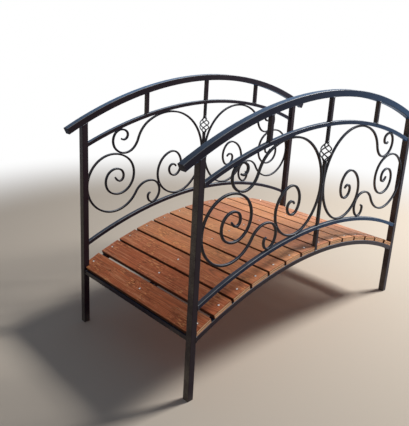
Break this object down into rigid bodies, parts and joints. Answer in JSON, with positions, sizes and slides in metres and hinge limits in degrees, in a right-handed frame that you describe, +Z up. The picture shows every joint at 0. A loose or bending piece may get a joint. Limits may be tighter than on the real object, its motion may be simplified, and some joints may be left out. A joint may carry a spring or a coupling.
{
  "type": "arched garden footbridge",
  "caption": "Low arched garden footbridge: timber boards on steel stringers between two arched railings with scrolls and a twisted basket.",
  "frame": {"origin": "on the ground under mid span, at the centre of the bounding box's base", "axes": "+X along the walkway towards the back end, +Y across it to the left of someone walking towards +X, +Z up"},
  "size_m": [2.2026, 1.051, 1.5168],
  "materials": {
    "frame_steel": "satin",
    "scroll_steel": "satin",
    "deck_wood": "oiled, matt"
  },
  "bodies": {
    "root": {"right_front_post": "frame_steel", "right_back_post": "frame_steel", "left_front_post": "frame_steel", "left_back_post": "frame_steel", "right_handrail": "frame_steel", "left_handrail": "frame_steel", "right_mid_rail": "frame_steel", "left_mid_rail": "frame_steel", "right_lower_rail": "frame_steel", "left_lower_rail": "frame_steel", "right_studs": "frame_steel", "left_studs": "frame_steel", "right_centre_bar": "scroll_steel", "left_centre_bar": "scroll_steel", "right_basket": "scroll_steel", "left_basket": "scroll_steel", "right_stub": "frame_steel", "left_stub": "frame_steel", "right_front_big_scroll": "scroll_steel", "right_back_big_scroll": "scroll_steel", "left_front_big_scroll": "scroll_steel", "left_back_big_scroll": "scroll_steel", "right_front_long_scroll": "scroll_steel", "right_back_long_scroll": "scroll_steel", "left_front_long_scroll": "scroll_steel", "left_back_long_scroll": "scroll_steel", "right_stringer": "frame_steel", "left_stringer": "frame_steel", "middle_stringer": "frame_steel", "front_beam": "frame_steel", "back_beam": "frame_steel", "board_1": "deck_wood", "board_2": "deck_wood", "board_3": "deck_wood", "board_4": "deck_wood", "board_5": "deck_wood", "board_6": "deck_wood", "board_7": "deck_wood", "board_8": "deck_wood", "board_9": "deck_wood", "board_10": "deck_wood", "board_11": "deck_wood", "board_12": "deck_wood", "board_13": "deck_wood", "board_14": "deck_wood"}
  },
  "joints": []
}
